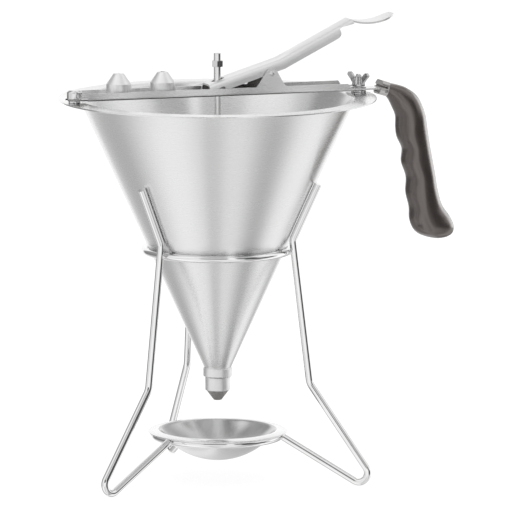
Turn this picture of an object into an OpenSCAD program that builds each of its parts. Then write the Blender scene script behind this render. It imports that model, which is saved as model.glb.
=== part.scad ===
// Batter dispensing funnel with a lever valve, on a wire stand with a drip dish.
// Millimetres. Z is up and zero is the table. X runs along the bridge, grip at +X.

/* [Funnel] */
// Height of the rim plane above the table
rim_z = 262; // [220:1:320]
// Outer radius of the flat rim flange
flange_r = 108; // [95:0.5:125]
// Half angle of the cone
cone_half_angle = 24.6; // [20:0.1:30]
// Height of the point where the outer cone would end
cone_apex_z = 56.7; // [40:0.1:80]
// Sheet thickness of the funnel
cone_sheet = 1.0; // [0.6:0.1:2]
// Bend radius between cone and flange, underside
rim_bend_r = 2.5; // [1:0.1:5]
// Height of the lower end of the cone sheet
cone_bottom_z = 74; // [72:0.5:78]

/* [Outlet and nozzles] */
// Radius of the outlet collar
collar_r = 9.8; // [9:0.1:12]
// Lower face of the outlet collar
collar_z0 = 70.5; // [68:0.1:72]
// Radius over the thread of the spout and of the parking pegs
thread_r = 6.45; // [5:0.05:8]
// Lower end of the spout
spout_z0 = 63; // [60:0.1:66]
// Bore radius of the spout
spout_bore_r = 4.6; // [4:0.1:5]
// Outer radius of a nozzle
nozzle_r = 8.5; // [8:0.1:10]
// Length of a nozzle's round part
nozzle_round_h = 8.9; // [7:0.1:12]
// Length of a nozzle's cone
nozzle_cone_h = 7.1; // [5:0.1:10]
// Radius of a nozzle's tip face
nozzle_tip_r = 2.7; // [2:0.1:4]
// Outlet radius of the fitted nozzle
fitted_hole_r = 1.8; // [1:0.1:2.5]
// Outlet radius of the outer spare nozzle
outer_hole_r = 1.2; // [0.8:0.1:2.5]
// Outlet radius of the inner spare nozzle
inner_hole_r = 2.0; // [1:0.1:2.5]
// Where the spare nozzles are parked along the bridge
park_x = [-69.8, -38.9];

/* [Bridge] */
// Outer width of the bridge channel
bridge_w = 22; // [18:0.5:30]
// Height of the channel's underside over the rim plane
bridge_lift = 1.8; // [1.5:0.1:5]
// Outer height of the channel walls
bridge_wall_h = 5.3; // [4:0.1:8]
// Sheet thickness of the channel
bridge_sheet = 1.0; // [0.8:0.1:2]
// Left end of the channel walls
wall_x0 = -94.2; // [-100:0.1:-80]
// Right end of the full-height walls
wall_x1 = 91; // [80:1:100]
// Right end of the low lips
lip_x1 = 102; // [95:1:106]
// Height of the low lips
lip_h = 2.0; // [1.5:0.1:4]
// Radius where the bridge is fastened to the rim
fixing_r = 101; // [98:0.5:104]
// Where the tongue bends down into the grip
tongue_bend_x = 115.4; // [108:0.1:118]
// Slope of the ferrule and of the grip's root
grip_slope = 17; // [5:1:30]

/* [Lever] */
// Where the lever pivots along the bridge
pivot_x = 35.4; // [30:0.1:45]
// Height of the pivot over the rim plane
pivot_h = 16.1; // [14:0.1:22]
// Radius of the pivot pin
pivot_r = 1.5; // [1:0.1:2.5]
// Outer width of the lever channel
lever_w = 19; // [16:0.1:20]
// Depth of the lever channel
lever_depth = 6.8; // [5:0.1:9]
// Sheet thickness of the lever
lever_sheet = 1.2; // [0.8:0.1:2]
// Left end of the lever
lever_x0 = -8; // [-12:0.5:-5]
// Where the lever's two arms meet
lever_bend_x = 42.9; // [38:0.1:48]
// Height of the top face there, over the rim plane
lever_bend_h = 25.4; // [22:0.1:30]
// Slope of the short arm over the valve rod
short_arm_slope = 17.2; // [10:0.1:25]
// Slope of the long arm
long_arm_slope = 26.7; // [20:0.1:35]
// Where the thumb tab is creased along the bridge
crease_x = 93.4; // [85:0.1:100]
// Radius of the thumb tab's hollow
tab_r = 39; // [30:1:60]
// Tip of the thumb tab along the bridge
tab_tip_x = 125.8; // [115:0.1:130]

/* [Valve] */
// Radius of the valve rod
rod_r = 2.5; // [2:0.05:4]
// Top of the rod over the rim plane
rod_top_h = 30.4; // [26:0.1:36]
// Lower face of the adjusting nut over the rim plane
nut_h0 = 21; // [18:0.1:26]
// Height of the adjusting nut
nut_t = 4.3; // [3:0.1:6]
// Width of the nut across its flats
nut_af = 7.3; // [7:0.1:10]
// Height of the cross pin over the rim plane
lift_pin_h = 6.5; // [6:0.1:8]
// Radius of the cross pin
lift_pin_r = 1.2; // [1:0.1:1.5]

/* [Grip] */
// Length of the steel ferrule
ferrule_len = 5.6; // [5:0.1:14]
// Width of the ferrule
ferrule_w = 15; // [12:0.5:20]
// Height of the ferrule
ferrule_h = 9.8; // [8:0.1:14]
// Largest width of the plastic grip
grip_w = 25; // [20:0.5:30]

/* [Stand] */
// Wire radius
wire_r = 2.5; // [2:0.1:4]
// Centre-line radius of the upper ring
upper_ring_r = 49.5; // [45:0.1:55]
// Height of the upper ring
upper_ring_z = 158.2; // [140:0.1:180]
// Centre-line radius of the lower ring
lower_ring_r = 43.4; // [38:0.1:50]
// Height of the lower ring
lower_ring_z = 30.4; // [24:0.1:40]
// Directions of the legs around Z: left, right, rear
leg_turn = [207, 325, 90];
// Height of the knees
knee_z = 68.8; // [60:0.1:80]
// Top of the prongs
prong_top_z = 205.6; // [190:0.1:225]
// Reach of the feet from the axis
foot_reach = 106.5; // [95:0.5:120]

/* [Drip dish] */
// Outer radius of the bowl's curve
bowl_r = 50.2; // [44:0.1:55]
// Lowest point of the bowl
bowl_z0 = 13; // [8:0.5:20]
// Outer radius of the dish's rim
dish_rim_r = 47.3; // [45:0.1:50]
// Sheet thickness of the dish
dish_sheet = 0.8; // [0.6:0.1:1.5]

/* [Hidden] */
$fn = 96;

slope = tan(cone_half_angle);
bridge_z0 = rim_z + bridge_lift;
bridge_floor = bridge_z0 + bridge_sheet;
wall_top = bridge_z0 + bridge_wall_h;
pivot_z = rim_z + pivot_h;
bend_z = rim_z + lever_bend_h;
lift_pin_z = rim_z + lift_pin_h;
tongue_w = 12;
running_gap = 0.05;
face_gap = 0.3;

// ---------- shared helpers ----------

// Outer radius of the cone at height z
function cone_r(z) = (z - cone_apex_z) * slope;

// Ring sector drawn flat: inner radius r, sheet t, from angle a0 to a1
module arc_strip(r, t, a0, a1) {
    reach = 3 * (r + t);
    intersection() {
        difference() {
            circle(r + t);
            circle(r);
        }
        polygon([
            [0, 0],
            [reach * cos(a0), reach * sin(a0)],
            [reach * cos((a0 + a1) / 2), reach * sin((a0 + a1) / 2)],
            [reach * cos(a1), reach * sin(a1)]
        ]);
    }
}

// Flat bar between two round ends
module round_bar(x0, x1, r) {
    translate([x0, -r]) square([x1 - x0, 2 * r]);
    translate([x0, 0]) circle(r);
    translate([x1, 0]) circle(r);
}

// Rectangle with rounded corners, centred
module round_rect(w, h, r) {
    square([w - 2 * r, h], center = true);
    square([w, h - 2 * r], center = true);
    for (sx = [-1, 1], sy = [-1, 1])
        translate([sx * (w / 2 - r), sy * (h / 2 - r)]) circle(r);
}

// Side outline given as x and z, pushed through to both sides of Y
module side_plate(w) {
    translate([0, w / 2, 0]) rotate([90, 0, 0]) linear_extrude(w) children();
}

// ---------- bent wire ----------

function unit(v) = v / norm(v);
function heading(p, i) = atan2(p[i + 1][1] - p[i][1], p[i + 1][0] - p[i][0]);
function wrap(a) = a > 180 ? a - 360 : a < -180 ? a + 360 : a;
function bend_at(p, i) = wrap(heading(p, i) - heading(p, i - 1));

// Points round corner i of path p, bent to radius r[i], one for each step degrees
function corner_arc(p, r, i, step) =
    let (h = heading(p, i - 1),
         turn = bend_at(p, i),
         side = turn > 0 ? 1 : -1,
         trim = abs(r[i] * tan(turn / 2)),
         centre = p[i] - trim * [cos(h), sin(h)] + r[i] * side * [-sin(h), cos(h)],
         n = ceil(abs(turn) / step))
    [for (k = [0 : n]) let (g = h + turn * k / n) centre + r[i] * side * [sin(g), -cos(g)]];

// Centre line of a wire that runs along corners p, given as x and z
function bent_path(p, r, step) = [for (q = concat([p[0]],
    [for (i = [1 : len(p) - 2]) each corner_arc(p, r, i, step)],
    [p[len(p) - 1]])) [q[0], 0, q[1]]];

function path_dir(path, i) = unit(path[min(i + 1, len(path) - 1)] - path[max(i - 1, 0)]);
function tube_ring(path, i, r, sides, up) =
    let (d = path_dir(path, i), s = unit(cross(d, up)), u = cross(s, d))
    [for (k = [0 : sides - 1])
        path[i] + r * (cos(360 * k / sides) * s + sin(360 * k / sides) * u)];

// Closed skin over rings of n points each, capped at both ends
module skin(rings, n) {
    last = (len(rings) - 1) * n;
    polyhedron(
        points = [for (r = rings) each r],
        faces = concat(
            [[for (k = [0 : n - 1]) k]],
            [for (i = [0 : len(rings) - 2], k = [0 : n - 1])
                let (a = i * n + k, b = i * n + (k + 1) % n)
                each [[a, b + n, b], [a, a + n, b + n]]],
            [[for (k = [n - 1 : -1 : 0]) last + k]]
        ));
}

// Round wire along a path, never parallel to up
module tube(path, r, sides, up) {
    skin([for (i = [0 : len(path) - 1]) tube_ring(path, i, r, sides, up)], sides);
}

// ---------- stand ----------

module ring(r, z) {
    translate([0, 0, z]) rotate_extrude() translate([r, 0]) circle(wire_r);
}

prong_gap = (wire_r + 0.35) / cos(cone_half_angle);
weld_r = upper_ring_r + 2 * wire_r - 0.1;
leg_fall = 0.1242;
leg_bend_z = 166.5;
foot_bend_r = 6.5;
foot_c = [foot_reach - foot_bend_r, foot_bend_r + wire_r];
foot_root = [47, lower_ring_z + 0.1];
knee = [weld_r + (upper_ring_z - knee_z) * leg_fall, knee_z];

// Direction that touches the foot bend, seen from point p, over or under it
function foot_dir(p, side) = atan2(foot_c[1] - p[1], foot_c[0] - p[0])
    + side * asin(foot_bend_r / norm(foot_c - p));
// Where the two straight runs to the foot would cross
function crossing(p, a, q, b) =
    let (t = ((q[0] - p[0]) * sin(b) - (q[1] - p[1]) * cos(b)) / sin(b - a))
    [p[0] + t * cos(a), p[1] + t * sin(a)];
foot_tip = crossing(knee, foot_dir(knee, 1), foot_root, foot_dir(foot_root, -1));

wire_sides = 20;
wire_step = 10;

// One leg as bent from a single wire: prong, upright, knee, foot and run to the lower ring
module leg(turn) {
    rotate([0, 0, turn]) tube(
        bent_path(
            [
                [cone_r(prong_top_z) + prong_gap, prong_top_z],
                [weld_r - (leg_bend_z - upper_ring_z) * leg_fall, leg_bend_z],
                knee,
                foot_tip,
                foot_root
            ],
            [0, 8, 11, foot_bend_r, 0],
            wire_step
        ),
        wire_r, wire_sides, [0, 1, 0]);
}

module upper_ring() color("silver") ring(upper_ring_r, upper_ring_z);
module lower_ring() color("silver") ring(lower_ring_r, lower_ring_z);
module leg_left() color("lightsteelblue") leg(leg_turn[0]);
module leg_right() color("lightsteelblue") leg(leg_turn[1]);
module leg_rear() color("lightsteelblue") leg(leg_turn[2]);

// ---------- drip dish ----------

lip_bend_r = 14;
// The lip's bend is centred a little inside the ring, and clears the wire by the face gap
lip_c = [lower_ring_r - 1.9, lower_ring_z
    - sqrt(pow(lip_bend_r - wire_r - face_gap, 2) - pow(1.9, 2))];

// Spun dish: round bowl, and a rim that rolls over the lower ring
module drip_dish() color("gainsboro") rotate_extrude() {
    bowl_c = [0, bowl_z0 + bowl_r];
    intersection() {
        difference() {
            translate(bowl_c) circle(bowl_r);
            translate(bowl_c) circle(bowl_r - dish_sheet);
        }
        union() {
            translate([0, bowl_z0 - 1]) square([60, 19]);
            translate(lip_c) circle(lip_bend_r + dish_sheet);
        }
        square([60, 60]);
    }
    difference() {
        translate(lip_c) circle(lip_bend_r + dish_sheet);
        translate(lip_c) circle(lip_bend_r);
        translate(bowl_c) circle(bowl_r - dish_sheet);
        translate([dish_rim_r, 0]) square([20, 60]);
        square([60, lip_c[1] + 5]);
    }
}

// ---------- funnel ----------

// Cone and flange spun from one sheet
module cone_shell() color("whitesmoke") rotate_extrude() {
    bend_c = [cone_r(rim_z - cone_sheet - rim_bend_r) + rim_bend_r / cos(cone_half_angle),
              rim_z - cone_sheet - rim_bend_r];
    wall_dir = [cos(cone_half_angle), -sin(cone_half_angle)];
    outer_top = bend_c - rim_bend_r * wall_dir;
    inner_top = bend_c - (rim_bend_r + cone_sheet) * wall_dir;
    inner_shift = cone_sheet / cos(cone_half_angle);
    translate(bend_c) arc_strip(rim_bend_r, cone_sheet, 90, 180 - cone_half_angle);
    translate([bend_c[0], rim_z - cone_sheet])
        square([flange_r - bend_c[0] - cone_sheet / 2, cone_sheet]);
    translate([flange_r - cone_sheet / 2, rim_z - cone_sheet / 2]) circle(cone_sheet / 2);
    polygon([
        outer_top,
        inner_top,
        [cone_r(cone_bottom_z) - inner_shift, cone_bottom_z],
        [cone_r(cone_bottom_z), cone_bottom_z]
    ]);
}

// Collar that holds the cone's end and carries the threaded spout
module outlet_collar() color("silver") rotate_extrude() {
    seat_r = cone_r(cone_bottom_z);
    mouth_r = seat_r - cone_sheet / cos(cone_half_angle);
    lead = 0.5;
    top_r = 9.35;
    polygon([
        [spout_bore_r, spout_z0],
        [thread_r - lead, spout_z0],
        [thread_r, spout_z0 + lead],
        [thread_r, collar_z0],
        [collar_r - lead, collar_z0],
        [collar_r, collar_z0 + lead],
        [collar_r, cone_apex_z + top_r / slope - 1.1],
        [top_r, cone_apex_z + top_r / slope],
        [seat_r, cone_bottom_z],
        [mouth_r, cone_bottom_z],
        [spout_bore_r, cone_bottom_z - 3]
    ]);
}

// Headed stud that the bridge's slotted tongue slides under
module keeper_stud() color("silver") translate([-fixing_r, 0, rim_z]) rotate_extrude() {
    head_r = 5.1;
    head_z0 = bridge_lift + bridge_sheet + 0.1;
    head_z1 = 8.9;
    polygon([
        [0, 0],
        [4, 0],
        [4, bridge_lift],
        [2.5, bridge_lift],
        [2.5, head_z0],
        [head_r - 0.5, head_z0],
        [head_r, head_z0 + 0.5],
        [head_r, head_z1 - 1.8],
        [head_r - 0.4, head_z1 - 0.8],
        [head_r - 1.2, head_z1 - 0.2],
        [head_r - 2.4, head_z1],
        [0, head_z1]
    ]);
}

// Threaded stud under the wing nut
module clamp_stud() color("silver") translate([fixing_r, 0, rim_z]) {
    cylinder(h = 11.9, r = 2);
    translate([0, 0, 11.9]) cylinder(h = 0.5, r1 = 2, r2 = 1.5);
}

// Ring that carries the bridge's right end clear of the rim
module stud_spacer() color("dimgray") translate([fixing_r, 0, rim_z]) difference() {
    cylinder(h = bridge_lift, r = 5.2);
    translate([0, 0, -1]) cylinder(h = bridge_lift + 2, r = 2);
}

module clamp_washer() color("silver") translate([fixing_r, 0, bridge_floor]) difference() {
    cylinder(h = 0.8, r = 5.25);
    translate([0, 0, -1]) cylinder(h = 3, r = 2);
}

// Wing nut: coned hub with two wings that stand up and out
module wing_nut() color("silver") translate([fixing_r, 0, bridge_floor + 0.8 + face_gap])
    rotate([0, 0, -64]) difference() {
        union() {
            cylinder(h = 7, r1 = 4.6, r2 = 3.4);
            for (side = [0, 180]) rotate([0, 0, side]) side_plate(2) {
                polygon([[0, 0.6], [3.9, 0.6], [7.2, 4.7], [9.7, 7.1], [6.2, 8.9], [2.6, 4.9], [0, 4.9]]);
                translate([7.85, 7.6]) circle(2);
            }
        }
        translate([0, 0, -1]) cylinder(h = 12, r = 2 + running_gap);
    }

// ---------- bridge ----------

// Triangular ear outline around the pivot, standing on the wall's top
module ear_outline() {
    ear_r = 4;
    base_h = wall_top - 0.5;
    translate([pivot_x, pivot_z]) circle(ear_r);
    polygon([
        [24.3, base_h],
        [24.3, wall_top],
        [pivot_x - ear_r * sin(56.5), pivot_z + ear_r * cos(56.5)],
        [pivot_x, pivot_z + 1],
        [pivot_x + ear_r * sin(62), pivot_z + ear_r * cos(62)],
        [43.8, wall_top + 2.2],
        [45.2, wall_top + 0.7],
        [47.3, wall_top],
        [47.3, base_h]
    ]);
}

// Side view of a wall: bevelled left end, step down to the low lip at the right
module wall_outline() {
    polygon([
        [wall_x0, bridge_z0],
        [wall_x0, wall_top - 0.6],
        [wall_x0 + 0.6, wall_top],
        [wall_x1 - 1, wall_top],
        [wall_x1 + 1, bridge_z0 + lip_h],
        [lip_x1, bridge_z0 + lip_h],
        [lip_x1 + 1, bridge_z0 + lip_h - 0.8],
        [lip_x1 + 1, bridge_z0]
    ]);
    ear_outline();
}

// U section of the channel, tall enough for the ears
module channel_section(w, h, t, corner) {
    difference() {
        union() {
            translate([-w / 2, corner]) square([w, h - corner]);
            translate([-w / 2 + corner, 0]) square([w - 2 * corner, corner]);
            for (s = [-1, 1]) translate([s * (w / 2 - corner), corner]) circle(corner);
        }
        union() {
            translate([-w / 2 + t, corner]) square([w - 2 * t, h]);
            translate([-w / 2 + corner, t]) square([w - 2 * corner, corner]);
            for (s = [-1, 1]) translate([s * (w / 2 - corner), corner]) circle(corner - t);
        }
    }
}

// Tongue in plan, narrowing to the grip and to the slotted left end
module floor_outline() {
    translate([wall_x0, -bridge_w / 2]) square([lip_x1 - 3 - wall_x0, bridge_w]);
    intersection() {
        translate([lip_x1 - 12, 0]) circle(13.6);
        translate([lip_x1 - 4, -bridge_w / 2]) square([30, bridge_w]);
    }
    difference() {
        round_bar(-fixing_r + 1, wall_x0 + 2, 7);
        translate([-fixing_r - 20, -2.6]) square([20, 5.2]);
        translate([-fixing_r, 0]) circle(2.6);
    }
}

// Tongue from the bridge's floor into the ferrule, bent down to the slope of the grip
module tongue() {
    out = 2.4;
    down = [cos(grip_slope), -sin(grip_slope)];
    up = bridge_sheet * [sin(grip_slope), cos(grip_slope)];
    root = [tongue_bend_x, bridge_z0];
    side_plate(tongue_w) polygon([
        [lip_x1 - 3, bridge_z0],
        root,
        root + out * down,
        root + out * down + up,
        root + bridge_sheet * [tan(grip_slope / 2), 1],
        [lip_x1 - 3, bridge_floor]
    ]);
}

module bridge_channel() color("lightgray") difference() {
    union() {
        intersection() {
            translate([wall_x0, 0, bridge_z0]) rotate([90, 0, 90])
                linear_extrude(lip_x1 + 1 - wall_x0)
                channel_section(bridge_w, 22, bridge_sheet, 1.8);
            side_plate(bridge_w + 2) wall_outline();
        }
        translate([0, 0, bridge_z0]) linear_extrude(bridge_sheet) intersection() {
            floor_outline();
            union() {
                translate([wall_x0, -bridge_w / 2 + 1.8]) square([lip_x1 + 1 - wall_x0, bridge_w - 3.6]);
                translate([-fixing_r - 10, -7]) square([18, 14]);
            }
        }
        tongue();
    }
    translate([0, 0, bridge_z0 - 1]) cylinder(h = 3, r = 4.5);
    translate([fixing_r, 0, bridge_z0 - 1]) cylinder(h = 3, r = 2);
    translate([pivot_x, 20, pivot_z]) rotate([90, 0, 0]) cylinder(h = 40, r = pivot_r);
}

// Flanged bush that keeps the rod upright
module rod_guide() color("dimgray") translate([0, 0, bridge_z0]) difference() {
    union() {
        cylinder(h = bridge_sheet, r = 4.5);
        translate([0, 0, bridge_sheet]) cylinder(h = 0.8, r = 6.5);
    }
    translate([0, 0, -1]) cylinder(h = 4, r = rod_r + running_gap);
}

// Threaded peg on the channel floor that a spare nozzle screws on
module park_peg(x) translate([x, 0, bridge_floor]) difference() {
    cylinder(h = 6.6, r = thread_r);
    translate([0, 0, 1.5]) cylinder(h = 6, r = 4.4);
}
module park_peg_outer() color("dimgray") park_peg(park_x[0]);
module park_peg_inner() color("dimgray") park_peg(park_x[1]);

// Headed pivot pin, flattened over at both ears
module pivot_pin() color("dimgray") translate([pivot_x, 0, pivot_z]) rotate([90, 0, 0]) {
    pin_half = bridge_w / 2;
    translate([0, 0, -pin_half]) cylinder(h = 2 * pin_half, r = pivot_r);
    for (s = [0, 1]) mirror([0, 0, s]) translate([0, 0, pin_half])
        cylinder(h = 0.5, r1 = 2, r2 = 1.5);
}

// ---------- return spring ----------

coil_wire_r = 0.55;
coil_r = 2.6;
coil_turns = 5.25;
coil_steps = 16;
coil_pitch = 1.3;
coil_half = coil_pitch * coil_turns / 2;
// The coil starts where its floor leg meets it, and ends where the lever's leg leaves it
coil_start = -150;
function coil_turn_at(i) = coil_start - 360 * i / coil_steps;
coil_n = coil_turns * coil_steps;
// Centre line of the spring: a leg on the floor, the coil, and a leg under the long arm
coil_path = concat(
    [[13, -12.2, -coil_half - 0.8]],
    [[5, -12.1, -coil_half - 0.7]],
    [[3.9, -11.6, -coil_half - 0.6]],
    [for (i = [0 : coil_n]) [coil_r * cos(coil_turn_at(i)), coil_r * sin(coil_turn_at(i)),
        coil_pitch * i / coil_steps - coil_half]],
    [[5, 4.8, coil_half + 0.4]],
    [[14, 8.6, coil_half + 0.5]]
);

// Torsion spring wound on the pivot pin
module return_spring() color("gray") translate([pivot_x, 0, pivot_z]) rotate([90, 0, 0])
    tube(coil_path, coil_wire_r, 8, [0, 0, 1]);

// ---------- grip ----------

// Ferrule frame: origin at its left end, X along its slope
ferrule_at = [115.3, rim_z + 3.07];
module at_ferrule() {
    translate([ferrule_at[0], 0, ferrule_at[1]]) rotate([0, grip_slope, 0]) children();
}
rivet_s = 4.1;
rivet_drop = -1.6;
// Spigot that fills the ferrule's socket: start along the slope, half width, height, centre height
spigot = [3.2, 4.5, 3.0, -1.7];

module grip_ferrule() color("gray") difference() {
    at_ferrule() difference() {
        rotate([90, 0, 90]) linear_extrude(ferrule_len) round_rect(ferrule_w, ferrule_h, 3.5);
        translate([-1, -ferrule_w, 0.3]) cube([5.6, 2 * ferrule_w, 1.2]);
        translate([-1, -5, -3.6]) cube([3.2, 10, 2.3]);
        translate([spigot[0], -spigot[1], spigot[3] - spigot[2] / 2])
            cube([10, 2 * spigot[1], spigot[2]]);
        translate([rivet_s, 20, rivet_drop]) rotate([90, 0, 0]) cylinder(h = 40, r = 1.2);
    }
    tongue();
}

module grip_rivet() color("dimgray") at_ferrule() translate([rivet_s, 0, rivet_drop])
    rotate([90, 0, 0]) translate([0, 0, -ferrule_w / 2]) cylinder(h = ferrule_w, r = 1.2);

// Stations down the grip: inner edge x and height, outer edge x and height, share of grip_w.
// Heights are over the rim plane. The inner edge carries the finger hollows.
grip_stations = [
    [119.45, -2.52, 121.86, 5.38, 0.576],
    [122.6, -6, 127.5, 4.4, 0.66],
    [125.6, -11.8, 135.2, 1.7, 0.8],
    [128.1, -18.2, 142.8, -4.3, 0.92],
    [128.1, -26, 147.9, -15.5, 1],
    [129.3, -32.6, 150, -27, 1],
    [133, -40.6, 151.6, -37.5, 1],
    [132.4, -49.6, 153.6, -47.5, 1],
    [135.9, -60, 155.6, -58.5, 1],
    [135.6, -70.6, 157.6, -69.5, 1],
    [138.2, -81, 161, -80, 1],
    [138.4, -89, 166.6, -88, 1],
    [140.4, -95.2, 169.6, -94.6, 0.98],
    [144.4, -99.4, 169, -99.4, 0.86],
    [150.4, -102, 165.2, -102.2, 0.58],
    [156, -103.3, 160.2, -103.4, 0.2]
];
grip_sides = 24;
grip_steps = 3;
function smooth(a, b, c, d, t) = 0.5 * (2 * b + (c - a) * t + (2 * a - 5 * b + 4 * c - d) * t * t
    + (3 * b - a - 3 * c + d) * t * t * t);
function station(i) = grip_stations[max(0, min(len(grip_stations) - 1, i))];
function between(i, t) = smooth(station(i - 1), station(i), station(i + 1), station(i + 2), t);
grip_rows = [for (i = [0 : len(grip_stations) - 2], k = [0 : grip_steps - 1]) between(i, k / grip_steps),
    station(len(grip_stations) - 1)];
// One cross-section: wide and flattened towards the fingers, rounder at the palm
function grip_ring(s) = [for (k = [0 : grip_sides - 1])
    let (a = 360 * k / grip_sides, c = cos(a), w = sin(a),
         across = (w < 0 ? -1 : 1) * pow(abs(w), 0.8) * (1 + 0.13 * c) / 1.02)
    [(s[0] + s[2]) / 2 + (s[0] - s[2]) / 2 * c, across * s[4] * grip_w / 2,
     rim_z + (s[1] + s[3]) / 2 + (s[1] - s[3]) / 2 * c]];
// The spigot as a ring with as many points
function spigot_ring(x) = [for (k = [0 : grip_sides - 1])
    let (a = 360 * k / grip_sides, c = cos(a), w = sin(a),
         s = 1 / max(abs(c), abs(w)),
         along = x, up = spigot[3] - c * s * spigot[2] / 2, side = w * s * spigot[1])
    [ferrule_at[0] + along * cos(grip_slope) + up * sin(grip_slope), side,
     ferrule_at[1] - along * sin(grip_slope) + up * cos(grip_slope)]];
grip_rings = concat([spigot_ring(spigot[0])], [spigot_ring(ferrule_len)],
    [for (s = grip_rows) grip_ring(s)]);

// Moulded finger grip lofted through its stations, with the spigot that enters the ferrule
module grip() color("#2b2322") skin(grip_rings, grip_sides);

// ---------- lever ----------

// Section of the lever: channel open downwards, top face at zero
module lever_section() {
    mirror([0, 1]) channel_section(lever_w, lever_depth, lever_sheet, 4.2);
}
arm_mean = (short_arm_slope + long_arm_slope) / 2;

// One arm of the lever, cut on the mitre where the arms meet
module lever_arm(tilt, length, side) {
    intersection() {
        translate([lever_bend_x, 0, bend_z]) rotate([0, -tilt, 0]) rotate([90, 0, 90])
            translate([0, 0, side > 0 ? -10 : -length]) linear_extrude(length + 10) lever_section();
        translate([lever_bend_x, 0, bend_z]) rotate([0, -arm_mean, 0])
            translate([side > 0 ? 0 : -90, -20, -30]) cube([90, 40, 60]);
    }
}
crease_z = bend_z + (crease_x - lever_bend_x) * tan(long_arm_slope);
tab_c = [105, rim_z + 48.6 + tab_r];

// Thumb tab: hollow plate with a round end
module thumb_tab() {
    intersection() {
        side_plate(lever_w) translate(tab_c)
            arc_strip(tab_r, lever_sheet, 254.5, 300);
        translate([0, 0, rim_z]) linear_extrude(80) {
            translate([crease_x - 5, -lever_w / 2])
                square([tab_tip_x - lever_w / 2 - crease_x + 5, lever_w]);
            translate([tab_tip_x - lever_w / 2, 0]) circle(lever_w / 2);
        }
    }
}

module lever() color("lightgray") difference() {
    union() {
        intersection() {
            union() {
                lever_arm(short_arm_slope, 70, -1);
                lever_arm(long_arm_slope, 56.6, 1);
            }
            side_plate(lever_w + 2) polygon([
                [lever_x0, rim_z],
                [lever_x0, rim_z + 20],
                [40, rim_z + 40],
                [88, rim_z + 60],
                [100, rim_z + 60],
                [100, crease_z - 1.6],
                [87.0, rim_z + 45.9],
                [84.6, rim_z + 44.6],
                [85.4, rim_z + 42.6],
                [85.5, rim_z + 41],
                [84.9, rim_z + 39.6],
                [83.6, rim_z + 38.4],
                [82.6, rim_z + 37.6],
                [40, rim_z]
            ]);
        }
        thumb_tab();
        for (s = [-1, 1]) translate([0, s * (lever_w / 2 - lever_sheet / 2), 0])
            side_plate(lever_sheet) {
                translate([pivot_x, pivot_z]) circle(4);
                translate([pivot_x - 4, pivot_z]) square([8, 2]);
            }
    }
    translate([-20, -20, rim_z - 10]) cube([40, 40, 10 + bridge_lift + bridge_sheet + face_gap]);
    translate([0, 0, rim_z + 8]) linear_extrude(12) round_bar(-1.2, 1.6, rod_r + 0.4);
    translate([pivot_x, 20, pivot_z]) rotate([90, 0, 0]) cylinder(h = 40, r = pivot_r + running_gap);
    side_plate(40) translate([0.1, lift_pin_z]) rotate([0, 0, 18]) round_bar(-0.1, 1.4, lift_pin_r + face_gap);
}

// ---------- valve ----------

plug_top_z = 67;
plug_r = 4.2;
seat_z0 = 55.3;
seat_slope = (6 - fitted_hole_r) / 6.6;
seat_side_gap = 0.36;

module valve_rod() color("silver") difference() {
    translate([0, 0, plug_top_z]) union() {
        cylinder(h = rim_z + rod_top_h - plug_top_z - 0.6, r = rod_r);
        translate([0, 0, rim_z + rod_top_h - plug_top_z - 0.6]) cylinder(h = 0.6, r1 = rod_r, r2 = 1.9);
    }
    translate([0, 20, lift_pin_z]) rotate([90, 0, 0]) cylinder(h = 40, r = lift_pin_r);
}

// Cross pin that the lever's slots lift
module lift_pin() color("dimgray") translate([0, 0, lift_pin_z]) rotate([90, 0, 0])
    translate([0, 0, -lever_w / 2]) cylinder(h = lever_w, r = lift_pin_r);

// Tapered plug that closes the nozzle
module valve_plug() color("dimgray") rotate_extrude() {
    tip_r = fitted_hole_r - seat_side_gap;
    polygon([
        [0, seat_z0 - 0.5],
        [tip_r - 0.2, seat_z0 - 0.5],
        [tip_r, seat_z0],
        [plug_r, seat_z0 + (plug_r - tip_r) / seat_slope],
        [plug_r, plug_top_z - 1],
        [plug_r - 1, plug_top_z],
        [0, plug_top_z]
    ]);
}

module adjusting_nut() color("silver") translate([0, 0, rim_z + nut_h0]) difference() {
    intersection() {
        cylinder(h = nut_t, r = nut_af / 2 / cos(30), $fn = 6);
        rotate_extrude() polygon([
            [0, 0], [nut_af / 2, 0], [nut_af / 2 + 0.65, 0.4],
            [nut_af / 2 + 0.65, nut_t - 0.4], [nut_af / 2, nut_t], [0, nut_t]
        ]);
    }
    translate([0, 0, -1]) cylinder(h = nut_t + 2, r = rod_r + running_gap);
}

// Nozzle with its open end up at zero, and the tip below
module nozzle_body(hole_r) {
    lead = 0.4;
    inner_r = thread_r + running_gap;
    total = nozzle_round_h + nozzle_cone_h;
    thread_d = 8.3;
    shoulder_run = 1.1;
    shoulder_drop = 0.8;
    rotate_extrude() polygon([
        [inner_r, 0],
        [nozzle_r - lead, 0],
        [nozzle_r, -lead],
        [nozzle_r, -nozzle_round_h],
        [nozzle_r - shoulder_run, -nozzle_round_h - shoulder_drop],
        [nozzle_tip_r, -total],
        [hole_r, -total],
        [hole_r, -total + 1.1],
        [6, -thread_d],
        [inner_r, -thread_d]
    ]);
}

module nozzle() color("slategray") translate([0, 0, collar_z0 - face_gap]) nozzle_body(fitted_hole_r);
module spare_nozzle_outer() color("slategray")
    translate([park_x[0], 0, bridge_floor + face_gap]) mirror([0, 0, 1]) nozzle_body(outer_hole_r);
module spare_nozzle_inner() color("slategray")
    translate([park_x[1], 0, bridge_floor + face_gap]) mirror([0, 0, 1]) nozzle_body(inner_hole_r);

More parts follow.
